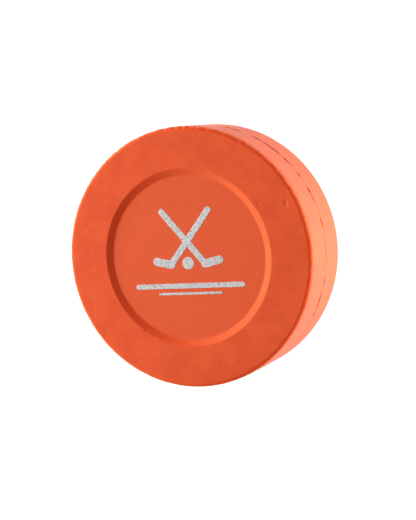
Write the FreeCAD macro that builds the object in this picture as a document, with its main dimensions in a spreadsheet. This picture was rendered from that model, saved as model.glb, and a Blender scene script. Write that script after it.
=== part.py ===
"""Soft hollow hockey puck: two moulded rubber half shells, the cement film that joins them, and a printed mark.

The puck lies flat with its axis along +Z. The origin is the centre of the underside. Lengths are in millimetres.
"""

import math
import os

import FreeCAD
import Part
import Sketcher

DIMENSIONS = {
    # outer form
    "puck_radius": 38.1,
    "half_height": 12.7,
    "edge_radius": 1.2,
    # shallow round recess in each face
    "recess_top_radius": 25.9,
    "recess_floor_radius": 23.9,
    "recess_depth": 0.85,
    "recess_brow_radius": 0.8,
    "recess_root_radius": 0.25,
    # cavity and the ribs that keep each face flat
    "cavity_radius": 31.4,
    "cavity_corner_radius": 2.5,
    "panel_wall": 4.4,
    "hub_inner_radius": 6.8,
    "hub_outer_radius": 9.2,
    "rib_start_radius": 8.0,
    "rib_end_radius": 32.4,
    "rib_half_width": 1.1,
    "rib_depth": 3.2,
    "rib_root": 1.0,
    "rib_count": 6,
    # cemented joint between the halves
    "half_film": 0.075,
    "film_outer_radius": 37.75,
    "seam_edge_radius": 0.2,
    "tongue_inner_radius": 33.6,
    "tongue_outer_radius": 35.6,
    "tongue_height": 1.2,
    # printed mark: two crossed sticks, a puck and two stripes
    "ink_thickness": 0.08,
    "shaft_top_x": 7.3,
    "shaft_top_y": 13.6,
    "heel_x": 5.4,
    "heel_y": 1.9,
    "toe_x": 9.8,
    "toe_y": 0.9,
    "shaft_half_width": 0.95,
    "blade_half_width": 1.2,
    "dot_radius": 1.8,
    "dot_y": 1.6,
    "stripe_y": 8.2,
    "stripe_half_length": 16.4,
    "stripe_half_width": 0.75,
    "fine_stripe_y": 10.45,
    "fine_stripe_half_length": 9.6,
    "fine_stripe_half_width": 0.35,
}

CEILING = "half_height - recess_depth - panel_wall"
RECESS_FLOOR = "half_height - recess_depth"
ORIGIN_POINT = (-1, 1)
VERTICAL_AXIS = -2
START, END, CENTRE = 1, 2, 3
LENGTH_TOLERANCE = 1e-4

doc = FreeCAD.newDocument("HockeyPuck")


def make_sheet():
    """Keep every driving dimension in one spreadsheet, one aliased cell to a row."""
    table = doc.addObject("Spreadsheet::Sheet", "Dimensions")
    for row, (alias, size) in enumerate(DIMENSIONS.items(), start=1):
        table.set(f"A{row}", alias)
        table.set(f"B{row}", str(size))
        table.setAlias(f"B{row}", alias)
    doc.recompute()
    return table


sheet = make_sheet()


def terms(formula):
    """Split a formula such as "- half_height + edge_radius" into (sign, alias) pairs."""
    sign, pairs = 1, []
    for word in formula.split():
        if word in ("+", "-"):
            sign = 1 if word == "+" else -1
        else:
            pairs.append((sign, word))
    return pairs


def value(formula):
    """The number that a formula of added and subtracted aliases stands for."""
    return sum(sign * sheet.get(alias) for sign, alias in terms(formula))


def expression(formula):
    """The same formula as FreeCAD reads it."""
    return " ".join(f"{'+' if sign > 0 else '-'} Dimensions.{alias}" for sign, alias in terms(formula))


def bind(feature, prop, formula):
    feature.setExpression(prop, expression(formula))


def origin_feature(body, role):
    return next(item for item in body.Origin.OriginFeatures if item.Role == role)


def make_body(name):
    body = doc.addObject("PartDesign::Body", name)
    body.Label = name
    return body


def make_sketch(body, name, plane, height=None):
    """Attach a sketch to one of the body's own origin planes, lifted by a formula when one is given."""
    sketch = body.newObject("Sketcher::SketchObject", name)
    sketch.AttachmentSupport = (origin_feature(body, plane), [""])
    sketch.MapMode = "FlatFace"
    if height:
        bind(sketch, "AttachmentOffset.Base.z", height)
    return sketch


def dimension(sketch, kind, formula, *references):
    """Add one dimensional constraint and bind it to the spreadsheet."""
    index = sketch.addConstraint(Sketcher.Constraint(kind, *references, value(formula)))
    bind(sketch, f"Constraints[{index}]", formula)


def pin_point(sketch, geometry, point, x, y):
    """Fix a point by its distances from the sketch's origin; x or y may be None for a point on that axis."""
    if x is None:
        sketch.addConstraint(Sketcher.Constraint("PointOnObject", geometry, point, VERTICAL_AXIS))
    else:
        dimension(sketch, "DistanceX", x, *ORIGIN_POINT, geometry, point)
    dimension(sketch, "DistanceY", y, *ORIGIN_POINT, geometry, point)


def draw_outline(sketch, corners):
    """Draw a closed polygon from (x, y) formulas, each corner bound to the spreadsheet."""
    places = [FreeCAD.Vector(value(x) if x else 0, value(y), 0) for x, y in corners]
    count = len(corners)
    for index in range(count):
        sketch.addGeometry(Part.LineSegment(places[index], places[(index + 1) % count]), False)
    for index in range(count):
        sketch.addConstraint(Sketcher.Constraint("Coincident", index, END, (index + 1) % count, START))
    for index, (x, y) in enumerate(corners):
        pin_point(sketch, index, START, x, y)


def draw_circle(sketch, radius):
    """Draw a circle about the sketch's origin."""
    circle = Part.Circle(FreeCAD.Vector(0, 0, 0), FreeCAD.Vector(0, 0, 1), value(radius))
    index = sketch.addGeometry(circle, False)
    sketch.addConstraint(Sketcher.Constraint("Coincident", index, CENTRE, *ORIGIN_POINT))
    dimension(sketch, "Radius", radius, index)


def draw_slot(sketch, start, end, radius):
    """Draw a round-ended bar between two centres, each a pair of formulas."""
    first = FreeCAD.Vector(value(start[0]), value(start[1]), 0)
    last = FreeCAD.Vector(value(end[0]), value(end[1]), 0)
    along = (last - first).normalize()
    side = FreeCAD.Vector(-along.y, along.x, 0) * value(radius)
    heading = math.atan2(along.y, along.x)
    up = FreeCAD.Vector(0, 0, 1)
    first_circle = Part.Circle(first, up, value(radius))
    last_circle = Part.Circle(last, up, value(radius))
    quarter = math.pi / 2
    first_arc = Part.ArcOfCircle(first_circle, heading + quarter, heading + 3 * quarter)
    last_arc = Part.ArcOfCircle(last_circle, heading - quarter, heading + quarter)
    right_line = Part.LineSegment(first - side, last - side)
    left_line = Part.LineSegment(last + side, first + side)
    loop = [sketch.addGeometry(piece, False) for piece in (first_arc, right_line, last_arc, left_line)]
    for piece, following in zip(loop, loop[1:] + loop[:1]):
        sketch.addConstraint(Sketcher.Constraint("Tangent", piece, END, following, START))
    sketch.addConstraint(Sketcher.Constraint("Equal", loop[0], loop[2]))
    dimension(sketch, "Radius", radius, loop[0])
    pin_point(sketch, loop[0], CENTRE, *start)
    pin_point(sketch, loop[2], CENTRE, *end)


def revolve(body, kind, name, corners):
    """Turn a polygon in the XZ plane about Z, as a PartDesign Revolution or Groove."""
    sketch = make_sketch(body, f"{name}_profile", "XZ_Plane")
    draw_outline(sketch, corners)
    feature = body.newObject(f"PartDesign::{kind}", name)
    feature.Profile = sketch
    feature.ReferenceAxis = (sketch, ["V_Axis"])
    feature.Angle = 360
    sketch.Visibility = False
    doc.recompute()
    return feature


def pad(body, sketch, name, length):
    """Raise a sketch by a formula's length."""
    feature = body.newObject("PartDesign::Pad", name)
    feature.Profile = sketch
    bind(feature, "Length", length)
    sketch.Visibility = False
    doc.recompute()
    return feature


def ring_edges(shape, radius, height):
    """Names of the circular edges that run about Z at this radius and height."""
    names = []
    for number, edge in enumerate(shape.Edges, start=1):
        if not isinstance(edge.Curve, Part.Circle):
            continue
        centre = edge.Curve.Center
        on_axis = math.hypot(centre.x, centre.y) < LENGTH_TOLERANCE
        same_radius = abs(edge.Curve.Radius - value(radius)) < LENGTH_TOLERANCE
        same_height = abs(centre.z - value(height)) < LENGTH_TOLERANCE
        if on_axis and same_radius and same_height:
            names.append(f"Edge{number}")
    return names


def round_ring(body, name, radius, height, size):
    """Round the ring edge at this radius and height, and check that the shape changed."""
    base = body.Tip
    edges = ring_edges(base.Shape, radius, height)
    fillet = body.newObject("PartDesign::Fillet", name)
    fillet.Base = (base, edges)
    bind(fillet, "Radius", size)
    doc.recompute()
    if abs(fillet.Shape.Volume - base.Shape.Volume) < LENGTH_TOLERANCE:
        raise RuntimeError(f"{name} changed nothing")
    return fillet


def require_cut(feature, before):
    if feature.Shape.Volume > before - LENGTH_TOLERANCE:
        raise RuntimeError(f"{feature.Name} cut nothing")


def add_ribs(body, prefix):
    """Mould a hub ring and radial ribs under the panel, rooted in the face wall and the rim."""
    floor = f"{CEILING} - rib_depth"
    height = "rib_depth + rib_root"
    hub_sketch = make_sketch(body, f"{prefix}_hub_outline", "XY_Plane", floor)
    draw_circle(hub_sketch, "hub_outer_radius")
    draw_circle(hub_sketch, "hub_inner_radius")
    pad(body, hub_sketch, f"{prefix}_hub", height)

    rib_sketch = make_sketch(body, f"{prefix}_rib_outline", "XY_Plane", floor)
    draw_outline(
        rib_sketch,
        [
            ("rib_start_radius", "- rib_half_width"),
            ("rib_end_radius", "- rib_half_width"),
            ("rib_end_radius", "rib_half_width"),
            ("rib_start_radius", "rib_half_width"),
        ],
    )
    rib = pad(body, rib_sketch, f"{prefix}_rib", height)
    pattern = body.newObject("PartDesign::PolarPattern", f"{prefix}_ribs")
    pattern.Originals = [rib]
    pattern.Axis = (origin_feature(body, "Z_Axis"), [""])
    pattern.Angle = 360
    bind(pattern, "Occurrences", "rib_count")
    body.Tip = pattern
    doc.recompute()


def make_half_shell(name):
    """One moulded half, with its joint land near z = 0 and its face at z = half_height."""
    body = make_body(name)
    revolve(
        body,
        "Revolution",
        f"{name}_wall",
        [
            (None, CEILING),
            ("cavity_radius", CEILING),
            ("cavity_radius", "half_film"),
            ("puck_radius", "half_film"),
            ("puck_radius", "half_height"),
            (None, "half_height"),
        ],
    )
    solid_volume = body.Shape.Volume
    recess = revolve(
        body,
        "Groove",
        f"{name}_recess",
        [
            (None, RECESS_FLOOR),
            ("recess_floor_radius", RECESS_FLOOR),
            ("recess_top_radius", "half_height"),
            (None, "half_height"),
        ],
    )
    require_cut(recess, solid_volume)
    round_ring(body, f"{name}_outer_edge", "puck_radius", "half_height", "edge_radius")
    round_ring(body, f"{name}_recess_brow", "recess_top_radius", "half_height", "recess_brow_radius")
    round_ring(body, f"{name}_recess_root", "recess_floor_radius", RECESS_FLOOR, "recess_root_radius")
    round_ring(body, f"{name}_cavity_corner", "cavity_radius", CEILING, "cavity_corner_radius")
    round_ring(body, f"{name}_seam_edge", "puck_radius", "half_film", "seam_edge_radius")
    add_ribs(body, name)
    return body


def make_front_half():
    """The printed half. Its land has the groove that locates the other half's tongue."""
    body = make_half_shell("front_half_shell")
    before = body.Shape.Volume
    groove_top = "half_film + tongue_height"
    groove = revolve(
        body,
        "Groove",
        "locating_groove",
        [
            ("tongue_inner_radius - half_film - half_film", "half_film"),
            ("tongue_outer_radius + half_film + half_film", "half_film"),
            ("tongue_outer_radius + half_film + half_film", groove_top),
            ("tongue_inner_radius - half_film - half_film", groove_top),
        ],
    )
    require_cut(groove, before)
    bind(body, "Placement.Base.z", "half_height")
    return body


def make_back_half():
    """The plain half, the same moulding turned over, with the tongue on its land."""
    body = make_half_shell("back_half_shell")
    tongue_tip = "half_film - tongue_height"
    revolve(
        body,
        "Revolution",
        "locating_tongue",
        [
            ("tongue_inner_radius", tongue_tip),
            ("tongue_outer_radius", tongue_tip),
            ("tongue_outer_radius", "half_film"),
            ("tongue_inner_radius", "half_film"),
        ],
    )
    body.Placement.Rotation = FreeCAD.Rotation(FreeCAD.Vector(1, 0, 0), 180)
    bind(body, "Placement.Base.z", "half_height")
    return body


def make_bond_film():
    """The cement between the lands, one film that steps over the tongue."""
    body = make_body("seam_bond_film")
    film_outside = "tongue_outer_radius + half_film + half_film"
    film_inside = "tongue_inner_radius - half_film - half_film"
    tongue_top = "tongue_height - half_film"
    groove_top = "tongue_height + half_film"
    revolve(
        body,
        "Revolution",
        "film",
        [
            ("cavity_radius", "- half_film"),
            ("tongue_inner_radius", "- half_film"),
            ("tongue_inner_radius", tongue_top),
            ("tongue_outer_radius", tongue_top),
            ("tongue_outer_radius", "- half_film"),
            ("film_outer_radius", "- half_film"),
            ("film_outer_radius", "half_film"),
            (film_outside, "half_film"),
            (film_outside, groove_top),
            (film_inside, groove_top),
            (film_inside, "half_film"),
            ("cavity_radius", "half_film"),
        ],
    )
    bind(body, "Placement.Base.z", "half_height")
    return body


def lay_on_panel(body):
    """Seat an ink film on the floor of the front recess."""
    bind(body, "Placement.Base.z", f"half_height + {RECESS_FLOOR}")
    return body


def make_printed_sticks():
    """Two crossed sticks: one shaft and blade, and their mirror image."""
    body = make_body("printed_sticks")
    heel = ("- heel_x", "- heel_y")
    shaft_sketch = make_sketch(body, "shaft_outline", "XY_Plane")
    draw_slot(shaft_sketch, heel, ("shaft_top_x", "shaft_top_y"), "shaft_half_width")
    shaft = pad(body, shaft_sketch, "shaft", "ink_thickness")
    blade_sketch = make_sketch(body, "blade_outline", "XY_Plane")
    draw_slot(blade_sketch, heel, ("- toe_x", "- toe_y"), "blade_half_width")
    blade = pad(body, blade_sketch, "blade", "ink_thickness")
    mirror = body.newObject("PartDesign::Mirrored", "other_stick")
    mirror.Originals = [shaft, blade]
    mirror.MirrorPlane = (origin_feature(body, "YZ_Plane"), [""])
    body.Tip = mirror
    doc.recompute()
    return lay_on_panel(body)


def make_printed_puck():
    """The round dot between the two blades."""
    body = make_body("printed_puck_dot")
    sketch = make_sketch(body, "dot_outline", "XY_Plane")
    draw_circle(sketch, "dot_radius")
    pad(body, sketch, "dot", "ink_thickness")
    lay_on_panel(body)
    bind(body, "Placement.Base.y", "- dot_y")
    return body


def make_printed_stripe(name, prefix):
    """One straight round-ended stripe under the sticks, centred on the puck's axis."""
    body = make_body(name)
    sketch = make_sketch(body, f"{name}_outline", "XY_Plane")
    height = f"- {prefix}_y"
    left, right = (f"- {prefix}_half_length", height), (f"{prefix}_half_length", height)
    draw_slot(sketch, left, right, f"{prefix}_half_width")
    pad(body, sketch, f"{name}_film", "ink_thickness")
    return lay_on_panel(body)


def check_document(bodies):
    """Stop before writing anything if a feature failed or a piece is not one valid solid."""
    failed = [item.Name for item in doc.Objects if {"Invalid", "Error"} & set(item.State)]
    if failed:
        raise RuntimeError(f"failed features: {failed}")
    for body in bodies:
        shape = body.Shape
        if shape.isNull() or not shape.isValid() or len(shape.Solids) != 1:
            raise RuntimeError(f"{body.Label} is not one valid solid")


def export(bodies):
    os.makedirs("parts", exist_ok=True)
    for body in bodies:
        body.Shape.exportStep(f"parts/{body.Label}.step")
        box = body.Shape.BoundBox
        sizes = f"{box.XLength:.2f} x {box.YLength:.2f} x {box.ZLength:.2f}"
        print(f"{body.Label}: {sizes} mm, {body.Shape.Volume:.1f} mm3")


pieces = [
    make_front_half(),
    make_back_half(),
    make_bond_film(),
    make_printed_sticks(),
    make_printed_puck(),
    make_printed_stripe("printed_stripe", "stripe"),
    make_printed_stripe("printed_fine_stripe", "fine_stripe"),
]
doc.recompute()
check_document(pieces)
export(pieces)
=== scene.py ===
"""Looks of the soft hollow hockey puck: two moulded halves, the cement in their seam, and the printed mark.

Lengths are in metres in the part's own frame: the puck lies flat, its axis along +Z and its printed face up.
Sizes and places are measured on the CAD nodes. The sizes named below are surface detail and the studio's.
"""

import math

import bmesh
import bpy
import numpy as np
from mathutils import Matrix, Vector, noise


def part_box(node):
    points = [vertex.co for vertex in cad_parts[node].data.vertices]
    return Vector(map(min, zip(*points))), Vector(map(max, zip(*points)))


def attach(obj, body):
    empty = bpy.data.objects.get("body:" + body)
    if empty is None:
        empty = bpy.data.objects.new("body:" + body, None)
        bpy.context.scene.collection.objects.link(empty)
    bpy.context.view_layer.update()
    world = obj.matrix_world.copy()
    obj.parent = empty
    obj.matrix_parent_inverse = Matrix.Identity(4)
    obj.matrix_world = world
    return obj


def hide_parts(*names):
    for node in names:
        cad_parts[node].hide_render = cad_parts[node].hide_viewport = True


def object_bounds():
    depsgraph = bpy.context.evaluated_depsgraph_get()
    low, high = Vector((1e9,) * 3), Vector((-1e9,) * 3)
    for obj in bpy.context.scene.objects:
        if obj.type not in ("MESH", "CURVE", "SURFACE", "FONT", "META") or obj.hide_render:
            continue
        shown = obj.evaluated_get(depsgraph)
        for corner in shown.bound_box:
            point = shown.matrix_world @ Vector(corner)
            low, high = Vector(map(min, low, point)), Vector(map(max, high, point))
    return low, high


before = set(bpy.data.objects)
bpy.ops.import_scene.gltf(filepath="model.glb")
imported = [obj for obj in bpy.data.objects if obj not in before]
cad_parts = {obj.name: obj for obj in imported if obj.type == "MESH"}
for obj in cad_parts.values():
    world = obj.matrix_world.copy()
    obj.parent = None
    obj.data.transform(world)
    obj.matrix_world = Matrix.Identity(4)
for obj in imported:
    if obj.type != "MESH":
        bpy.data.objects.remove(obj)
cad_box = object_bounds()

MM = 0.001
UM = 0.000001
TOUCH = 5 * UM
BODY = "root"
FRONT, BACK, FILM = "front_half_shell", "back_half_shell", "seam_bond_film"
INKS = ("printed_sticks", "printed_puck_dot", "printed_stripe", "printed_fine_stripe")

# Main places, measured on the frame. A half's own height runs from the joint plane outwards, to either side.
RIM_RADIUS = cad_box[1].x
TOP = cad_box[1].z
JOINT_PLANE = (cad_box[0].z + TOP) / 2
HALF_HEIGHT = TOP - JOINT_PLANE
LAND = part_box(FRONT)[0].z - JOINT_PLANE
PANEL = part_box("printed_stripe")[0].z - JOINT_PLANE
INK_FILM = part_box("printed_stripe")[1].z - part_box("printed_stripe")[0].z

# Mesh fineness. Rows along a half's section lie closer together where it turns.
COLUMNS = 720
PANEL_STEP, FACE_STEP, RIM_STEP = 0.9 * MM, 0.36 * MM, 0.6 * MM
PANEL_OUT_TO, FACE_UP_FROM = 0.6 * RIM_RADIUS, 0.9 * HALF_HEIGHT
NOTCH_ROWS = 9
NOTCH_INNER_STEP = 0.35 * MM
TURN_STEP = math.radians(9)
SECTION_STEP = 0.02 * MM
SECTION_SOFTNESS = 0.07 * MM

# Relief of the moulded rubber. All of it goes inwards, so that the skin stays in the CAD model's box.
SWELLS = ((9.0 * MM, 0.035 * MM), (2.6 * MM, 0.009 * MM))
SWELL_SEED = 17.3
RIM_SINK = 0.07 * MM
SUNK_RIM = (RIM_RADIUS - 0.7 * MM, RIM_RADIUS)

# The recess is not perfectly round: its wall wobbles, between these radii.
RECESS_WOBBLE, RECESS_RIPPLE = 0.09 * MM, 0.3
RECESS_START, RECESS_END = (21 * MM, 23.4 * MM), (26.6 * MM, 29 * MM)

# The moulded edge is rubbed, and scalloped: most about one place (its angle and width in degrees), less
# elsewhere, and hardly on the back.
EDGE_RUB, EDGE_WIDTH = 0.04 * MM, 0.6 * MM
SCALLOPS = 0.43 * MM
SCALLOPS_ELSEWHERE, SCALLOPS_ON_BACK = 0.22, 0.15
SCALLOPS_MOST = (65, 50)
SCALLOP_SHARE, SCALLOP_FINE_PART = 0.35, 0.5
SCALLOP_RADII = (RIM_RADIUS - 1.9 * MM, RIM_RADIUS - 0.7 * MM)
SCALLOP_HEIGHTS = (HALF_HEIGHT - 2.6 * MM, HALF_HEIGHT - 0.7 * MM)

# Marks on the printed face: x, y, half width, half length and depth in millimetres
FACE_MARKS = (
    (31.3, 14.3, 0.28, 0.80, 0.23),
    (23.2, 14.1, 0.34, 0.38, 0.15),
    (-28.9, 9.0, 0.5, 0.4, 0.05),
    (-28.2, -22.2, 0.6, 0.9, 0.04),
    (8.1, 30.6, 0.7, 0.5, 0.04),
    (-9.5, 29.5, 1.0, 0.6, 0.03),
    (2.0, -31.5, 1.1, 0.7, 0.04),
    (-14.9, -21.1, 0.34, 0.30, 0.12),
    (-12.2, -22.7, 0.36, 0.30, 0.12),
    (-9.6, -23.6, 0.30, 0.30, 0.10),
)

# Stretches of the seam that the cement left open: angle and half length in degrees, opening in millimetres.
# Between REAR_START and REAR_END, in degrees, they are drawn at random.
OPENINGS = (
    (84.0, 2.6, 1.40),
    (74.0, 1.9, 1.30),
    (69.9, 2.6, 1.30),
    (59.2, 3.8, 1.20),
    (54.5, 3.0, 1.10),
    (50.0, 3.9, 1.30),
    (43.0, 2.6, 0.95),
    (34.4, 1.6, 0.95),
    (26.4, 2.2, 1.05),
    (22.4, 2.0, 0.50),
    (11.2, 2.6, 0.90),
    (-3.0, 2.6, 0.26),
    (-14.6, 2.2, 0.75),
    (-22.6, 3.5, 1.00),
    (-26.2, 1.4, 1.00),
    (-30.4, 1.6, 1.15),
    (-45.6, 1.8, 0.80),
    (-57.8, 1.9, 0.85),
)
REAR_OPENINGS, DRAW_SEED = 30, 7
REAR_START, REAR_END = 95.0, 296.0
REAR_PLACE, REAR_HALF_LENGTH, REAR_OPENING = (0.1, 0.9), (1.4, 5.0), (0.25, 0.7)
HAIRLINE = 0.06 * MM
OPENING_RAGGEDNESS = 0.4
SHUT_TO_OPEN = (0.10 * MM, 0.45 * MM)

# Depth of the notch between the lips, and what openings and faint stretches (angle and width in degrees) add
NOTCH, NOTCH_IF_FAINT, NOTCH_IF_OPEN, NOTCH_NOISE = 0.42 * MM, -0.22 * MM, 0.85 * MM, 0.05 * MM
FAINT_BELLS = ((3, 9), (18.8, 2.5))
# Where the lips gape, the dark cement comes to just under the rim: painted shade of the open seam, along
# with the cement itself.
CEMENT_DEPTH_IF_OPEN, CEMENT_NOISE = 0.22 * MM, 0.04 * MM
LIP_OUT_FROM = RIM_RADIUS - 0.15 * MM

# The seam's wandering up and down: its mean, its swells, and bends of (centre and width in degrees, height)
WANDER_MEAN, WANDER_LONG, WANDER_SHORT = -0.35 * MM, 0.30 * MM, 0.16 * MM
WANDER_BENDS = ((-43, 10, -0.6 * MM), (-62, 9, 0.4 * MM))
WANDER_RADII, WANDER_HEIGHTS = (36.0 * MM, 37.3 * MM), (0.5 * MM, 5.0 * MM)

# The lips: where they part, how far one stands back from the other, and how far they swell
LIP_PART_HEIGHTS, LIP_STEP_HEIGHTS = (0.1 * MM, 1.3 * MM), (0.4 * MM, 4 * MM)
LIP_STEP, LIP_SWELL, LIP_SWELL_SHARE = 0.10 * MM, 0.06 * MM, 0.4
LIP_SWELL_HEIGHT, LIP_SWELL_RADII = 0.35 * MM, (37.4 * MM, 38 * MM)


def smooth_step(low, high, at):
    """Ease from 0 at low to 1 at high."""
    share = np.clip((np.asarray(at, float) - low) / (high - low), 0, 1)
    return share * share * (3 - 2 * share)


def bump_at(centre, width, at):
    """A soft bell that is 1 at the centre and nearly gone two widths away."""
    return np.exp(-(((at - centre) / width) ** 2))


def ring_noise(swells, seed):
    """Smooth noise from about -1 to 1 at each column round the axis, with this many swells to a turn."""
    reach = swells / math.pi
    return np.array([noise.noise((reach * math.cos(a), reach * math.sin(a), seed)) for a in ANGLES])


def field_noise(points, size, seed=0.0):
    """Smooth noise from about -1 to 1 through space, with swells of this size."""
    flat = np.asarray(points, float).reshape(-1, 3) / size + seed
    return np.array([noise.noise(p) for p in flat.tolist()]).reshape(np.shape(points)[:-1])


# ---- the seam, as values at each column round the rim

ANGLES = np.arange(COLUMNS) * 2 * math.pi / COLUMNS


def gap_from(degrees):
    """Signed angle from this place on the rim to each column, in radians, within half a turn."""
    return (ANGLES - math.radians(degrees) + math.pi) % (2 * math.pi) - math.pi


def bell_round(centre, width):
    """A soft bell round the rim. Its centre and width are in degrees."""
    return bump_at(0, math.radians(width), gap_from(centre))


def all_openings():
    """The listed openings, and more like them round the rear of the rim."""
    draw = np.random.default_rng(DRAW_SEED)
    pitch = (REAR_END - REAR_START) / REAR_OPENINGS
    more = [
        (
            REAR_START + pitch * (index + draw.uniform(*REAR_PLACE)),
            draw.uniform(*REAR_HALF_LENGTH),
            draw.uniform(*REAR_OPENING),
        )
        for index in range(REAR_OPENINGS)
    ]
    return list(OPENINGS) + more


def seam_opening():
    """Width of the gap between the two lips: a hair where they meet, and wide at each opening."""
    opening = np.full(COLUMNS, HAIRLINE)
    for centre, half_length, width in all_openings():
        away = gap_from(centre) / math.radians(half_length)
        opening = np.maximum(opening, width * MM * np.clip(1 - away**2, 0, 1))
    return opening * (1 + OPENING_RAGGEDNESS * ring_noise(swells=240, seed=3.1))


def notch_depth():
    """Depth of the notch between the lips: less where the seam is faint, and more where it gapes."""
    faint = sum(bell_round(*bell) for bell in FAINT_BELLS)
    grown = NOTCH + NOTCH_IF_FAINT * faint + NOTCH_IF_OPEN * OPEN_SHARE
    return grown + NOTCH_NOISE * ring_noise(swells=90, seed=5.7)


def cement_depth():
    """Depth of the cement under the rim: the notch's bottom, or just under the rim where the lips gape."""
    filled = NOTCH_DEPTH + (CEMENT_DEPTH_IF_OPEN - NOTCH_DEPTH) * OPEN_SHARE
    return filled + CEMENT_NOISE * ring_noise(swells=210, seed=7.9)


def seam_wander():
    """Height of the seam over the joint plane."""
    swells = WANDER_LONG * ring_noise(swells=7, seed=11.3) + WANDER_SHORT * ring_noise(swells=34, seed=2.9)
    return WANDER_MEAN + swells + sum(height * bell_round(*bell) for *bell, height in WANDER_BENDS)


OPENING = seam_opening()
OPEN_SHARE = smooth_step(*SHUT_TO_OPEN, OPENING)
NOTCH_DEPTH = notch_depth()
CEMENT_DEPTH = cement_depth()
WANDER = seam_wander()


def lip_share(radius):
    """How fully a point in the notch follows the lips: not at its bottom, and fully just under the rim."""
    return smooth_step(RIM_RADIUS - NOTCH_DEPTH, LIP_OUT_FROM, radius)


def wander_weight(radius, height):
    """How far a point follows the wandering seam: fully at the lips, not at all inside or up the rim."""
    return smooth_step(*WANDER_RADII, radius) * (1 - smooth_step(*WANDER_HEIGHTS, height))


# ---- the half shells


def outer_section(node, side):
    """The (radius, height) rows of a half's outer skin, in order from the axis round to the joint."""
    points = np.array([v.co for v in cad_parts[node].data.vertices])
    radius = np.hypot(points[:, 0], points[:, 1])
    height = side * (points[:, 2] - JOINT_PLANE)
    at_land = np.abs(height - LAND) < UM
    joint_radius = np.unique(radius[at_land].round(5))[-2]
    outside = (height > PANEL - TOUCH) | (radius > joint_radius + TOUCH)
    rows = np.unique(np.column_stack([radius, height])[outside].round(6), axis=0)
    middle_radius, middle_height = 0.8 * RIM_RADIUS, 0.4 * HALF_HEIGHT
    turn = np.arctan2(rows[:, 1] - middle_height, rows[:, 0] - middle_radius)
    rows = rows[np.argsort(-turn)]
    return np.vstack([[0, PANEL], rows, [joint_radius, LAND]])


def soften(dense):
    """Round the corners of a densely stepped line."""
    spread = SECTION_SOFTNESS / SECTION_STEP
    reach = int(3 * spread)
    kernel = bump_at(0, spread, np.arange(-reach, reach + 1))
    padded = np.pad(dense, ((reach, reach), (0, 0)), mode="reflect", reflect_type="odd")
    return np.column_stack([np.convolve(padded[:, k], kernel / kernel.sum(), "valid") for k in (0, 1)])


def soft_rows(section):
    """Round the section's facets, and pick rows from it: close together where it turns."""
    steps = np.hypot(*np.diff(section, axis=0).T)
    along = np.concatenate([[0], np.cumsum(steps)])
    fine = np.arange(0, along[-1], SECTION_STEP)
    soft = soften(np.column_stack([np.interp(fine, along, section[:, k]) for k in (0, 1)]))
    heading = np.unwrap(np.arctan2(*np.diff(soft, axis=0).T[::-1]))
    turning = np.abs(np.diff(heading, prepend=heading[0], append=heading[-1]))
    step = np.where(soft[:, 1] > FACE_UP_FROM, FACE_STEP, RIM_STEP)
    step = np.where(soft[:, 0] < PANEL_OUT_TO, PANEL_STEP, step)
    cost = np.cumsum(SECTION_STEP / step + turning / TURN_STEP)
    wanted = np.linspace(cost[0], cost[-1], int(cost[-1]))
    return np.column_stack([np.interp(wanted, cost, soft[:, k]) for k in (0, 1)])


def skin_rows(section):
    """The rows of a half's skin: its outside, and then the notch between the lips, down to the joint."""
    outside = soft_rows(section[:-1])
    bottom = section[-1] + np.array([NOTCH_INNER_STEP, 0])
    notch = np.linspace(outside[-1], bottom, NOTCH_ROWS + 1)[1:]
    return np.vstack([outside, notch])


def section_normals(rows):
    """Outward unit normals of the section, at each row."""
    slope = np.gradient(rows, axis=0)
    normals = np.column_stack([-slope[:, 1], slope[:, 0]])
    return normals / np.linalg.norm(normals, axis=1)[:, None]


def around_axis(radius, height, side):
    """The (x, y, z) points at these radii and heights, one column to each angle."""
    return np.stack([radius * np.cos(ANGLES), radius * np.sin(ANGLES), JOINT_PLANE + side * height], axis=-1)


def relief(points):
    """How far the moulded skin lies under its nominal surface, at each point."""
    depth = np.zeros(np.shape(points)[:-1])
    for seed, (size, height) in enumerate(SWELLS, start=1):
        depth += height * (0.5 + 0.5 * field_noise(points, size, SWELL_SEED * seed))
    return depth


def mark_depth(points, side):
    """Depth of the small marks that the printed face has picked up."""
    depth = np.zeros(np.shape(points)[:-1])
    if side < 0:
        return depth
    for x, y, half_width, half_length, deep in FACE_MARKS:
        across, along = (points[..., 0] / MM - x) / half_width, (points[..., 1] / MM - y) / half_length
        away = np.hypot(across, along)
        depth += deep * MM * bump_at(0, 1, away)
    return depth * (points[..., 2] > JOINT_PLANE + FACE_UP_FROM)


def wobble_recess(radius, side):
    """Make the recess wall a little out of round."""
    ripple = ring_noise(swells=6, seed=4.4 * side) + RECESS_RIPPLE * ring_noise(swells=50, seed=9.1)
    in_recess = smooth_step(*RECESS_START, radius) * (1 - smooth_step(*RECESS_END, radius))
    return radius + RECESS_WOBBLE * ripple * in_recess


def shape_lips(radius, height, side):
    """Let the lips wander, meet or gape, and stand a little back or proud in places."""
    follow = wander_weight(radius, height)
    parted = lip_share(radius) * (1 - smooth_step(*LIP_PART_HEIGHTS, height))
    on_rim = smooth_step(*SUNK_RIM, radius)
    back = np.clip(side * LIP_STEP * ring_noise(swells=16, seed=8.4), 0, None)
    back = back * (1 - smooth_step(*LIP_STEP_HEIGHTS, height))
    proud = LIP_SWELL * np.clip(ring_noise(swells=30, seed=6.2) + LIP_SWELL_SHARE, 0, 1)
    at_lip = bump_at(LIP_SWELL_HEIGHT, LIP_SWELL_HEIGHT, height) * smooth_step(*LIP_SWELL_RADII, radius)
    new_height = height + side * WANDER * follow + (OPENING / 2 - LAND) * parted
    return radius - RIM_SINK * on_rim - back * on_rim + proud * at_lip, new_height


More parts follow.
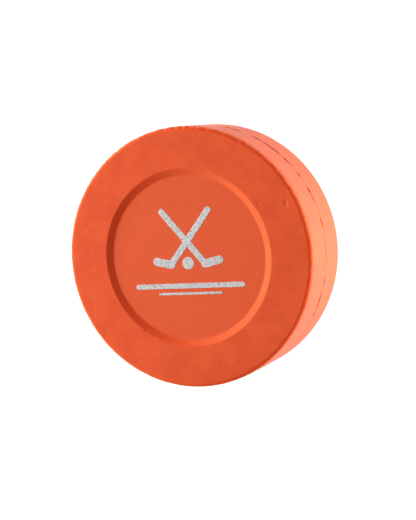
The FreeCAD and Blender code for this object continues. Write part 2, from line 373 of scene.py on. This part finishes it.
def scallop_edge(radius, height, side):
    """Cut small scallops into the moulded edge."""
    strength = SCALLOPS_ELSEWHERE + (1 - SCALLOPS_ELSEWHERE) * bell_round(*SCALLOPS_MOST)
    strength = SCALLOPS * strength * (1 if side > 0 else SCALLOPS_ON_BACK)
    cuts = ring_noise(swells=110, seed=4.3 * side)
    cuts = cuts + SCALLOP_FINE_PART * ring_noise(swells=220, seed=5.9 * side)
    at_edge = smooth_step(*SCALLOP_RADII, radius) * smooth_step(*SCALLOP_HEIGHTS, height)
    return radius - strength * np.clip(SCALLOP_SHARE + cuts, 0, 1) * at_edge


def rub_depth(radius, height, side):
    """How far the outer edge is rubbed down."""
    edge = bump_at(RIM_RADIUS, EDGE_WIDTH, radius) * bump_at(HALF_HEIGHT, EDGE_WIDTH, height)
    return edge * EDGE_RUB * (0.5 + 0.5 * ring_noise(swells=22, seed=13.7 * side))


def skin_points(rows, side):
    """Every vertex of a half's skin, as an array of rows by columns by (x, y, z)."""
    radius = np.repeat(rows[:, :1], COLUMNS, axis=1)
    height = np.repeat(rows[:, 1:], COLUMNS, axis=1)
    out = section_normals(rows)
    radius = wobble_recess(radius, side)
    follow = wander_weight(radius, height)
    radius, height = shape_lips(radius, height, side)
    radius = scallop_edge(radius, height, side)
    points = around_axis(radius, height, side)
    inward = relief(points) * (1 - follow) + mark_depth(points, side) + rub_depth(radius, height, side)
    return around_axis(radius - inward * out[:, :1], height - inward * out[:, 1:], side)


def add_skin(mesh, points):
    """Add the skin's faces, from the pole on the axis to the last row."""
    pole = mesh.verts.new(points[0].mean(axis=0))
    rings = [[mesh.verts.new(p) for p in row] for row in points[1:]]
    for index in range(COLUMNS):
        following = (index + 1) % COLUMNS
        mesh.faces.new((pole, rings[0][index], rings[0][following]))
        for inner, outer in zip(rings, rings[1:]):
            mesh.faces.new((inner[index], outer[index], outer[following], inner[following]))
    for face in mesh.faces:
        face.smooth = True


def add_inside(mesh, node, side, joint_radius):
    """Add the CAD node's own inner faces: cavity, hub, ribs and the tongue or groove."""
    inner = bmesh.new()
    inner.from_mesh(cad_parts[node].data)
    bmesh.ops.remove_doubles(inner, verts=inner.verts, dist=UM)
    outside = [
        v for v in inner.verts
        if side * (v.co.z - JOINT_PLANE) > PANEL - TOUCH or v.co.xy.length > joint_radius + TOUCH
    ]
    bmesh.ops.delete(inner, geom=outside, context="VERTS")
    for face in inner.faces:
        face.smooth = False
    scrap = bpy.data.meshes.new("inside")
    inner.to_mesh(scrap)
    inner.free()
    mesh.from_mesh(scrap)
    bpy.data.meshes.remove(scrap)


def new_piece(name, mesh, material, nodes):
    """Turn a bmesh into a shown piece that stands for CAD nodes."""
    bmesh.ops.recalc_face_normals(mesh, faces=mesh.faces)
    data = bpy.data.meshes.new(name)
    mesh.to_mesh(data)
    mesh.free()
    data.materials.append(material)
    piece = bpy.data.objects.new(name, data)
    bpy.context.scene.collection.objects.link(piece)
    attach(piece, BODY)
    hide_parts(*nodes)
    return piece


def make_half(name, node, side, material):
    """One half shell: its own detailed skin, closed by the CAD node's inside."""
    section = outer_section(node, side)
    mesh = bmesh.new()
    add_skin(mesh, skin_points(skin_rows(section), side))
    add_inside(mesh, node, side, section[-1][0])
    bmesh.ops.bridge_loops(mesh, edges=[e for e in mesh.edges if e.is_boundary])
    return new_piece(name, mesh, material, [node])


# ---- the cement film


def film_rows():
    """The film's closed section: each row's radius, height, and share of the way out along its flange."""
    points = np.array([v.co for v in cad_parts[FILM].data.vertices])
    radii = np.unique(np.hypot(points[:, 0], points[:, 1]).round(5))
    heights = np.unique((points[:, 2] - JOINT_PLANE).round(5))
    inner, groove_in, tongue_in, tongue_out, groove_out, _ = radii
    under, over, tongue_top, groove_top = heights
    shares = np.linspace(0, 1, 2 * NOTCH_ROWS)
    below = [
        (inner, under),
        (tongue_in, under),
        (tongue_in, tongue_top),
        (tongue_out, tongue_top),
        (tongue_out, under),
    ]
    above = [(groove_out, groove_top), (groove_in, groove_top), (groove_in, over), (inner, over)]
    rows = [(r, h, 0.0) for r, h in below]
    rows += [(groove_out, under, share) for share in shares]
    rows += [(groove_out, over, share) for share in shares[::-1]]
    rows += [(r, h, 0.0) for r, h in above]
    return np.array(rows)


def make_film(material):
    """The cement between the lands. Where the lips gape it shows, and fills them nearly to the rim, where
    its dark colour is also painted shade of the open seam.
    """
    rows = film_rows()
    reach = RIM_RADIUS - CEMENT_DEPTH
    clearance = 4 * UM
    radius = rows[:, :1] + rows[:, 2:] * (reach[None, :] - rows[:, :1])
    spread = (OPENING / 2 - LAND) * lip_share(radius) - clearance
    follow = wander_weight(radius, np.zeros_like(radius))
    height = rows[:, 1:2] + np.sign(rows[:, 1:2]) * spread + WANDER * follow
    mesh = bmesh.new()
    rings = [[mesh.verts.new(p) for p in row] for row in around_axis(radius, height, 1)]
    for ring, other in zip(rings, rings[1:] + rings[:1]):
        for index in range(COLUMNS):
            following = (index + 1) % COLUMNS
            mesh.faces.new((ring[index], other[index], other[following], ring[following]))
    return new_piece("seam_cement", mesh, material, [FILM])


# ---- the printed mark

INK_CELL = 0.11 * MM
INK_PAD = 4 * INK_CELL
INK_SHEETS_APART = 0.02
RAGGED_COARSE, RAGGED_COARSE_SIZE = 0.07 * MM, 0.75 * MM
RAGGED_FINE, RAGGED_FINE_SIZE = 0.04 * MM, 0.3 * MM
THIN_PATCHES, PINHOLE_SIZE, PINHOLE_DEPTH = 4.5 * MM, 0.42 * MM, 0.4 * MM
PINHOLE_FROM, PINHOLE_IN_THIN = 0.65, 0.28
LEAST_SLOPE, MOST_SHIFT = 0.3, 0.45 * INK_CELL
INK_TOP, INK_BORDER, INK_UNDER = 0.25 * INK_FILM, 0.20 * INK_FILM, 0.25 * INK_FILM
INK_GRAIN = 0.05 * INK_FILM
INK_GRAIN_SIZE = 0.6 * MM


def outline_edges(node):
    """The outline of a flat CAD node: the edges of its top face, as an array of pairs of (x, y)."""
    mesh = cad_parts[node].data
    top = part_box(node)[1].z
    uses = {}
    for polygon in mesh.polygons:
        corners = [mesh.vertices[i].co for i in polygon.vertices]
        if all(abs(c.z - top) < TOUCH for c in corners):
            spots = [(round(c.x, 6), round(c.y, 6)) for c in corners]
            for a, b in zip(spots, spots[1:] + spots[:1]):
                key = (min(a, b), max(a, b))
                uses[key] = uses.get(key, 0) + 1
    return np.array([key for key, count in uses.items() if count == 1])


def signed_distance(x, y, edges):
    """Distance to the outline at each grid point, negative inside it."""
    nearest = np.full(x.shape, np.inf)
    inside = np.zeros(x.shape, bool)
    for (ax, ay), (bx, by) in edges:
        length = (bx - ax) ** 2 + (by - ay) ** 2
        share = np.clip(((x - ax) * (bx - ax) + (y - ay) * (by - ay)) / length, 0, 1)
        nearest = np.minimum(nearest, np.hypot(x - ax - share * (bx - ax), y - ay - share * (by - ay)))
        if ay != by:
            crosses = ((ay > y) != (by > y)) & (x < ax + (y - ay) * (bx - ax) / (by - ay))
            inside ^= crosses
    return np.where(inside, -nearest, nearest)


def printed_field(node, x, y):
    """A field that is negative where ink lies: inside the CAD outline, with ragged edges and pinholes."""
    flat = np.stack([x, y, np.full_like(x, INKS.index(node) * INK_SHEETS_APART)], axis=-1)
    field = signed_distance(x, y, outline_edges(node))
    coarse = RAGGED_COARSE * field_noise(flat, RAGGED_COARSE_SIZE, seed=1.5)
    field += coarse + RAGGED_FINE * field_noise(flat, RAGGED_FINE_SIZE, seed=2.5)
    thin = np.clip(field_noise(flat, THIN_PATCHES, seed=3.5), 0, 1)
    speck = field_noise(flat, PINHOLE_SIZE, seed=4.5)
    pinholes = (speck - PINHOLE_FROM + PINHOLE_IN_THIN * thin) * PINHOLE_DEPTH
    return np.maximum(field, pinholes)


def filled_cells(field):
    """Which cells hold ink. Cells never meet at one corner alone, so that the film stays a closed solid."""
    cells = (field[:-1, :-1] + field[1:, :-1] + field[:-1, 1:] + field[1:, 1:]) < 0
    while True:
        a, b, c, d = cells[:-1, :-1], cells[1:, 1:], cells[1:, :-1], cells[:-1, 1:]
        rising, falling = a & b & ~c & ~d, c & d & ~a & ~b
        if not (rising.any() or falling.any()):
            return cells
        cells[1:, :-1] |= rising
        cells[:-1, :-1] |= falling


def cells_at_corners(cells):
    """How many inked cells touch each grid point."""
    across, along = cells.shape
    count = np.zeros((across + 1, along + 1), int)
    for i, j in ((0, 0), (0, 1), (1, 0), (1, 1)):
        count[i:i + across, j:j + along] += cells
    return count


def moved_to_outline(x, y, field, border):
    """The grid's points, with those on the ink's border moved onto its outline."""
    slope_x, slope_y = np.gradient(field, INK_CELL)
    steep = np.maximum(np.hypot(slope_x, slope_y), LEAST_SLOPE)
    shift = np.clip(field / steep, -MOST_SHIFT, MOST_SHIFT)
    moved_x, moved_y = x - shift * slope_x / steep, y - shift * slope_y / steep
    return np.where(border, moved_x, x), np.where(border, moved_y, y)


def ink_surfaces(x, y, border):
    """Heights of the film's top and underside, which follow the relief of the recess floor."""
    flat_floor = JOINT_PLANE + PANEL
    floor = flat_floor - relief(np.stack([x, y, np.full_like(x, flat_floor)], axis=-1))
    grain = field_noise(np.stack([x, y, np.zeros_like(x)], axis=-1), INK_GRAIN_SIZE, seed=6.5)
    return floor + np.where(border, INK_BORDER, INK_TOP + INK_GRAIN * grain), floor - INK_UNDER


def add_cells(mesh, cells, corners):
    """Add the film's top and underside over each inked cell, and walls where the next cell has no ink."""
    for i, j in zip(*np.nonzero(cells)):
        ring = [(i, j), (i + 1, j), (i + 1, j + 1), (i, j + 1)]
        beside = [(i, j - 1), (i + 1, j), (i, j + 1), (i - 1, j)]
        mesh.faces.new([corners[k][0] for k in ring]).smooth = True
        mesh.faces.new([corners[k][1] for k in reversed(ring)])
        for start, end, other in zip(ring, ring[1:] + ring[:1], beside):
            if not cells[other]:
                (top, bottom), (next_top, next_bottom) = corners[start], corners[end]
                mesh.faces.new((top, bottom, next_bottom, next_top))


def make_ink(node, material):
    """One printed shape as a thin film on the recess floor."""
    low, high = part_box(node)
    xs = np.arange(low.x - INK_PAD, high.x + INK_PAD, INK_CELL)
    ys = np.arange(low.y - INK_PAD, high.y + INK_PAD, INK_CELL)
    x, y = np.meshgrid(xs, ys, indexing="ij")
    field = printed_field(node, x, y)
    cells = filled_cells(field)
    used = cells_at_corners(cells)
    border = (used > 0) & (used < 4)
    x, y = moved_to_outline(x, y, field, border)
    surfaces = ink_surfaces(x, y, border)
    mesh = bmesh.new()
    corners = {
        (i, j): [mesh.verts.new((x[i, j], y[i, j], z[i, j])) for z in surfaces]
        for i, j in zip(*np.nonzero(used))
    }
    add_cells(mesh, cells, corners)
    return new_piece(f"{node}_ink", mesh, material, [node])


# ---- material tools

# The Mix node's sockets for colours, by number: its sockets for plain values and vectors have the same names
MIX_FACTOR, MIX_FIRST, MIX_SECOND, MIX_RESULT = 0, 6, 7, 2


def new_material(name):
    """An empty node material, with its tree, its Principled shader and the part's own coordinates."""
    material = bpy.data.materials.new(name)
    material.use_nodes = True
    tree = material.node_tree
    shader = tree.nodes["Principled BSDF"]
    place = tree.nodes.new("ShaderNodeTexCoord").outputs["Object"]
    return material, tree, shader, place


def add_node(tree, kind, sockets, **settings):
    """Add a node; each socket takes a number, a colour or another node's output."""
    node = tree.nodes.new(kind)
    for name, setting in settings.items():
        setattr(node, name, setting)
    for key, source in sockets.items():
        if isinstance(source, bpy.types.NodeSocket):
            tree.links.new(source, node.inputs[key])
        else:
            node.inputs[key].default_value = source
    return node


def noise_of(tree, place, size, detail=2.0, roughness=0.5):
    """Noise from 0 to 1 with swells of about this size in metres."""
    settings = {"Vector": place, "Scale": 1 / size, "Detail": detail, "Roughness": roughness}
    return add_node(tree, "ShaderNodeTexNoise", settings).outputs["Fac"]


def remap(tree, source, low, high, least=0.0, most=1.0):
    """Stretch low..high of a value to least..most, clamped and eased."""
    sockets = {"Value": source, "From Min": low, "From Max": high, "To Min": least, "To Max": most}
    return add_node(tree, "ShaderNodeMapRange", sockets, interpolation_type="SMOOTHSTEP").outputs["Result"]


def patches(tree, place, span, least=0.0, most=1.0, **shape):
    """Noise of this shape as soft patches: its span low..high is stretched to least..most."""
    return remap(tree, noise_of(tree, place, **shape), *span, least, most)


def math_of(tree, operation, first, second):
    """The result of one arithmetic step on two values."""
    return add_node(tree, "ShaderNodeMath", {0: first, 1: second}, operation=operation).outputs[0]


def mix_colours(tree, factor, first, second, blend="MIX"):
    """Blend two colours; each is an (r, g, b) or another node's output."""
    def whole(colour):
        """Another node's output as it is, and a plain colour made opaque."""
        return colour if isinstance(colour, bpy.types.NodeSocket) else (*colour, 1.0)

    sockets = {MIX_FACTOR: factor, MIX_FIRST: whole(first), MIX_SECOND: whole(second)}
    return add_node(tree, "ShaderNodeMix", sockets, data_type="RGBA", blend_type=blend).outputs[MIX_RESULT]


def add_bump(tree, shader, layers):
    """Chain bump layers of (height, strength, distance) into the shader's normal."""
    normal = None
    for height, strength, distance in layers:
        sockets = {"Height": height, "Strength": strength, "Distance": distance}
        if normal is not None:
            sockets["Normal"] = normal
        normal = add_node(tree, "ShaderNodeBump", sockets).outputs["Normal"]
    tree.links.new(normal, shader.inputs["Normal"])


# ---- the orange rubber

# Colours in linear light. Flecks and dust multiply the colour under them.
FACE_DEEP, FACE_PALE = (0.722, 0.083, 0.025), (0.778, 0.098, 0.028)
PANEL_COLOUR = (0.75, 0.107, 0.038)
# The recess wall: a richer red on its left side is painted shade, a paler orange on its right side is
# painted light.
WALL_PAINTED_SHADE, WALL_PAINTED_LIGHT = (0.78, 0.066, 0.015), (0.75, 0.112, 0.031)
FLECK_TINT, DUST_TINT = (0.905, 0.75, 0.61), (1.04, 1.27, 1.38)
# The moulded edge: a paler orange on the left, where the key falls, is painted light; a saturated red on the
# face side of the corner is painted shade, and the colour on its rim side is painted shading between them.
EDGE_PAINTED_LIGHT = (0.71, 0.105, 0.019)
EDGE_RIM_SIDE, EDGE_PAINTED_SHADE = (0.74, 0.079, 0.016), (0.82, 0.061, 0.009)
# The rim's paler colours are painted sheen, along with a paler bloom on the rubber.
RIM_DULL, RIM_BRIGHT = (0.76, 0.119, 0.057), (0.79, 0.137, 0.048)

# Patterns over the surface
MOTTLE = {"size": 6 * MM, "detail": 4, "roughness": 0.6, "span": (0.36, 0.64)}
FLECKS = {"size": 0.9 * MM, "detail": 2, "span": (0.55, 0.75), "most": 0.5}
DUST = {"size": 0.7 * MM, "detail": 3, "span": (0.52, 0.74), "most": 0.6}
RIM_SHEEN_AND_BLOOM = {"size": 4 * MM, "detail": 4, "roughness": 0.65, "span": (0.34, 0.66)}
MATTE = {"size": 3 * MM, "detail": 4, "roughness": 0.6, "span": (0.3, 0.7), "least": 0.58, "most": 0.7}
PORES, PORE_DEPTH = {"size": 1.3 * MM, "detail": 3}, 0.05 * MM
GRAIN, GRAIN_DEPTH = {"size": 0.35 * MM, "detail": 2}, 0.02 * MM
RUBBER_BUMP = 0.25

# Where each colour lies: by radius; by x, which puts painted light on the recess wall's right and the edge's
# left, and painted shade on their other sides; and by the sum and difference of radius and height, which
# tell the moulded edge from the face and the rim
PANEL_RADII, PANEL_SHARE = (24.3 * MM, 23.7 * MM), 0.7
WALL_RADII_IN, WALL_RADII_OUT = (23.5 * MM, 24.1 * MM), (26.3 * MM, 25.7 * MM)
WALL_X, EDGE_X = (-25 * MM, 20 * MM), (-24 * MM, 14 * MM)
CORNER_SUM, CORNER_DIFFERENCE = RIM_RADIUS + HALF_HEIGHT, RIM_RADIUS - HALF_HEIGHT
EDGE_SUMS = (CORNER_SUM - 1.4 * MM, CORNER_SUM - 0.9 * MM)
FACE_SIDE = (CORNER_DIFFERENCE, CORNER_DIFFERENCE - 0.5 * MM)
RIM_SIDE, RIM_SHARE = (CORNER_DIFFERENCE + 0.1 * MM, CORNER_DIFFERENCE + 1.0 * MM), 0.9


def radius_and_height(tree, split):
    """A shader's distance from the axis, and its height from the joint plane to either side."""
    flat = add_node(tree, "ShaderNodeCombineXYZ", {"X": split["X"], "Y": split["Y"]})
    radius = add_node(tree, "ShaderNodeVectorMath", {0: flat.outputs["Vector"]}, operation="LENGTH")
    height = math_of(tree, "ABSOLUTE", math_of(tree, "SUBTRACT", split["Z"], JOINT_PLANE), 0.0)
    return radius.outputs["Value"], height


def face_colour(tree, place, x, radius):
    """Mottled orange, a paler panel and a recess wall with painted shade on its left and painted light on
    its right, all finely flecked.
    """
    colour = mix_colours(tree, patches(tree, place, **MOTTLE), FACE_DEEP, FACE_PALE)
    panel = remap(tree, radius, *PANEL_RADII, most=PANEL_SHARE)
    colour = mix_colours(tree, panel, colour, PANEL_COLOUR)
    inside, outside = remap(tree, radius, *WALL_RADII_IN), remap(tree, radius, *WALL_RADII_OUT)
    wall = math_of(tree, "MULTIPLY", inside, outside)
    # Painted shade on the left of the recess wall, painted light on its right.
    wall_light_and_shade = mix_colours(tree, remap(tree, x, *WALL_X), WALL_PAINTED_SHADE, WALL_PAINTED_LIGHT)
    colour = mix_colours(tree, wall, colour, wall_light_and_shade)
    colour = mix_colours(tree, patches(tree, place, **FLECKS), colour, FLECK_TINT, "MULTIPLY")
    return mix_colours(tree, patches(tree, place, **DUST), colour, DUST_TINT, "MULTIPLY")


def edge_and_rim_colour(tree, place, x, radius, height, colour):
    """Lay painted light and shade over the moulded edges, and over the rim a paler colour that is painted
    sheen along with a bloom.
    """
    edge = remap(tree, math_of(tree, "ADD", radius, height), *EDGE_SUMS)
    difference = math_of(tree, "SUBTRACT", radius, height)
    # Painted shade on the face side of the corner, and painted light on the left of the edge.
    edge_light_and_shade = mix_colours(tree, remap(tree, difference, *FACE_SIDE), EDGE_RIM_SIDE, EDGE_PAINTED_SHADE)
    edge_light_and_shade = mix_colours(tree, remap(tree, x, *EDGE_X), EDGE_PAINTED_LIGHT, edge_light_and_shade)
    colour = mix_colours(tree, edge, colour, edge_light_and_shade)
    # A paler rim: painted sheen, along with a bloom.
    rim_sheen_and_bloom = mix_colours(tree, patches(tree, place, **RIM_SHEEN_AND_BLOOM), RIM_DULL, RIM_BRIGHT)
    return mix_colours(tree, remap(tree, difference, *RIM_SIDE, most=RIM_SHARE), colour, rim_sheen_and_bloom)


def make_rubber():
    """Matte moulded rubber, with a fine grain."""
    material, tree, shader, place = new_material("orange_rubber")
    split = add_node(tree, "ShaderNodeSeparateXYZ", {"Vector": place}).outputs
    radius, height = radius_and_height(tree, split)
    colour = face_colour(tree, place, split["X"], radius)
    colour = edge_and_rim_colour(tree, place, split["X"], radius, height, colour)
    tree.links.new(colour, shader.inputs["Base Color"])
    tree.links.new(patches(tree, place, **MATTE), shader.inputs["Roughness"])
    shader.inputs["Specular IOR Level"].default_value = 0.10
    shader.inputs["Specular Tint"].default_value = (1.0, 0.88, 0.68, 1.0)
    shader.inputs["Sheen Weight"].default_value = 0.15
    shader.inputs["Sheen Tint"].default_value = (1.0, 0.83, 0.68, 1.0)
    shader.inputs["Sheen Roughness"].default_value = 0.4
    pores = (noise_of(tree, place, **PORES), RUBBER_BUMP, PORE_DEPTH)
    grain = (noise_of(tree, place, **GRAIN), RUBBER_BUMP, GRAIN_DEPTH)
    add_bump(tree, shader, [pores, grain])
    return material


# ---- the cement

# The cement's dark red is its own colour and also painted shade in the open stretches of the seam.
CEMENT_AND_SHADE_DEEP, CEMENT_AND_SHADE_PALE = (0.12, 0.006, 0.002), (0.22, 0.010, 0.003)
CEMENT_PATCHES = {"size": 1.2 * MM, "detail": 3, "span": (0.3, 0.7)}
CEMENT_LUMPS, CEMENT_BUMP, CEMENT_LUMP_DEPTH = {"size": 0.5 * MM}, 0.4, 0.05 * MM


def make_cement():
    """The darker cement in the seam: the cement's own dark colour, and painted shade for the open stretches
    of the seam.
    """
    material, tree, shader, place = new_material("rubber_cement")
    colour = mix_colours(tree, patches(tree, place, **CEMENT_PATCHES), CEMENT_AND_SHADE_DEEP, CEMENT_AND_SHADE_PALE)
    tree.links.new(colour, shader.inputs["Base Color"])
    shader.inputs["Roughness"].default_value = 0.7
    shader.inputs["Specular IOR Level"].default_value = 0.0
    add_bump(tree, shader, [(noise_of(tree, place, **CEMENT_LUMPS), CEMENT_BUMP, CEMENT_LUMP_DEPTH)])
    return material


# ---- the ink

INK_DEEP, INK_PALE, INK_THIN = (0.435, 0.435, 0.435), (0.67, 0.675, 0.675), (0.50, 0.28, 0.21)
INK_TONE = {"size": 0.45 * MM, "detail": 3, "span": (0.35, 0.65)}
INK_WORN = {"size": 0.34 * MM, "detail": 4, "roughness": 0.7, "span": (0.54, 0.76), "most": 0.45}
INK_ROUGHNESS = {"size": 0.8 * MM, "detail": 2, "span": (0.3, 0.7), "least": 0.62, "most": 0.8}
INK_LUMPS, INK_BUMP, INK_LUMP_DEPTH = {"size": 0.4 * MM, "detail": 3}, 0.25, 0.01 * MM


def make_ink_finish():
    """Light grey screen ink, a little uneven, with the orange showing through where it is thin."""
    material, tree, shader, place = new_material("grey_ink")
    colour = mix_colours(tree, patches(tree, place, **INK_TONE), INK_DEEP, INK_PALE)
    colour = mix_colours(tree, patches(tree, place, **INK_WORN), colour, INK_THIN)
    tree.links.new(colour, shader.inputs["Base Color"])
    tree.links.new(patches(tree, place, **INK_ROUGHNESS), shader.inputs["Roughness"])
    shader.inputs["Specular IOR Level"].default_value = 0.3
    add_bump(tree, shader, [(noise_of(tree, place, **INK_LUMPS), INK_BUMP, INK_LUMP_DEPTH)])
    return material


# ---- the studio

STUDIO_WHITE = (1.0, 1.0, 1.0, 1.0)
FLOOR_SIZE = 6.0
FLOOR_GLOW, FLOOR_GREY = 0.92, 0.3
SKY_TOP, SKY_HORIZON, SKY_FADE, SKY_LEAN = 0.285, 0.73, 3.0, 0.34
WHITE, COOL = (1.0, 1.0, 1.0), (0.82, 1.0, 1.15)
KEY_TURN, KEY_RISE, KEY_DISTANCE = math.radians(171), math.radians(20), 0.66
KEY_SIZE, KEY_POWER = (0.36, 0.46), 9.5
NEAR_PLACE, NEAR_SIZE, NEAR_POWER = (0.078, 0, 0.0065), (0.060, 0.013), 0.026
FAR_PLACE, FAR_SIZE, FAR_POWER = (0.313, -0.062, TOP / 2), (0.70, TOP), 1.1

VIEW_YAW, VIEW_PITCH, VIEW_ROLL = math.radians(22.84), math.radians(-5.24), math.radians(-4.42)
VIEW_DISTANCE = 382.2 * MM
VIEW_AIM = (6.61 * MM, -0.81 * MM)
LENS, SENSOR = 92.25, 36.0
CLIP_START, CLIP_END = 0.01, 20


def make_floor():
    """A wide pale floor under the puck."""
    material, _, shader, _ = new_material("studio_floor")
    shader.inputs["Base Color"].default_value = (FLOOR_GREY, FLOOR_GREY, FLOOR_GREY, 1.0)
    shader.inputs["Roughness"].default_value = 0.8
    shader.inputs["Emission Color"].default_value = STUDIO_WHITE
    shader.inputs["Emission Strength"].default_value = FLOOR_GLOW
    mesh = bmesh.new()
    bmesh.ops.create_grid(mesh, x_segments=4, y_segments=4, size=FLOOR_SIZE / 2)
    data = bpy.data.meshes.new("studio_floor")
    mesh.to_mesh(data)
    mesh.free()
    data.materials.append(material)
    floor = bpy.data.objects.new("studio_floor", data)
    bpy.context.scene.collection.objects.link(floor)


def make_sky():
    """Soft white surroundings, brighter towards the horizon than overhead."""
    world = bpy.data.worlds.new("studio")
    bpy.context.scene.world = world
    world.use_nodes = True
    tree = world.node_tree
    background = tree.nodes["Background"]
    place = tree.nodes.new("ShaderNodeTexCoord").outputs["Generated"]
    split = add_node(tree, "ShaderNodeSeparateXYZ", {"Vector": place}).outputs
    above = math_of(tree, "MAXIMUM", split["Z"], 0.0)
    low = math_of(tree, "POWER", math_of(tree, "SUBTRACT", 1.0, above), SKY_FADE)
    level = math_of(tree, "ADD", math_of(tree, "MULTIPLY", low, SKY_HORIZON - SKY_TOP), SKY_TOP)
    lean = math_of(tree, "ADD", math_of(tree, "MULTIPLY", split["Y"], SKY_LEAN), 1.0)
    tree.links.new(math_of(tree, "MULTIPLY", level, lean), background.inputs["Strength"])
    background.inputs["Color"].default_value = STUDIO_WHITE


def area_light(name, place, aim, size, power, colour):
    """A rectangular soft light at one point, turned towards another. The camera does not see it."""
    data = bpy.data.lights.new(name, "AREA")
    data.shape = "RECTANGLE"
    data.size, data.size_y = size
    data.energy = power
    data.color = colour
    lamp = bpy.data.objects.new(name, data)
    bpy.context.scene.collection.objects.link(lamp)
    lamp.visible_camera = False
    lamp.location = place
    lamp.rotation_mode = "QUATERNION"
    lamp.rotation_quaternion = (Vector(aim) - Vector(place)).to_track_quat("-Z", "Y")


def make_lights():
    """A large soft key low on the left, and two low panels at the right that light the rim, not the face."""
    level = math.cos(KEY_RISE)
    way = (level * math.cos(KEY_TURN), level * math.sin(KEY_TURN), math.sin(KEY_RISE))
    face_centre = Vector((0, 0, TOP))
    area_light("key", face_centre + KEY_DISTANCE * Vector(way), face_centre, KEY_SIZE, KEY_POWER, WHITE)
    area_light("rim_near", NEAR_PLACE, (0, 0, NEAR_PLACE[2]), NEAR_SIZE, NEAR_POWER, COOL)
    area_light("rim_far", FAR_PLACE, (0, 0, FAR_PLACE[2]), FAR_SIZE, FAR_POWER, COOL)


def make_camera():
    """The main view: the mark upright, seen from its right and a little above."""
    data = bpy.data.cameras.new("camera")
    data.sensor_width = SENSOR
    data.lens = LENS
    data.clip_start, data.clip_end = CLIP_START, CLIP_END
    camera = bpy.data.objects.new("camera", data)
    bpy.context.scene.collection.objects.link(camera)
    turn = Matrix.Rotation(VIEW_YAW, 4, "Y") @ Matrix.Rotation(VIEW_PITCH, 4, "X")
    turn = turn @ Matrix.Rotation(VIEW_ROLL, 4, "Z")
    back = turn @ Vector((0, 0, VIEW_DISTANCE))
    camera.matrix_world = Matrix.Translation(Vector((*VIEW_AIM, TOP)) + back) @ turn
    bpy.context.scene.camera = camera


make_camera()
make_sky()
make_floor()
make_lights()
bpy.context.scene.view_settings.view_transform = "Standard"

rubber = make_rubber()
make_half("front_shell", FRONT, 1, rubber)
make_half("back_shell", BACK, -1, rubber)
make_film(make_cement())
ink = make_ink_finish()
for node in INKS:
    make_ink(node, ink)
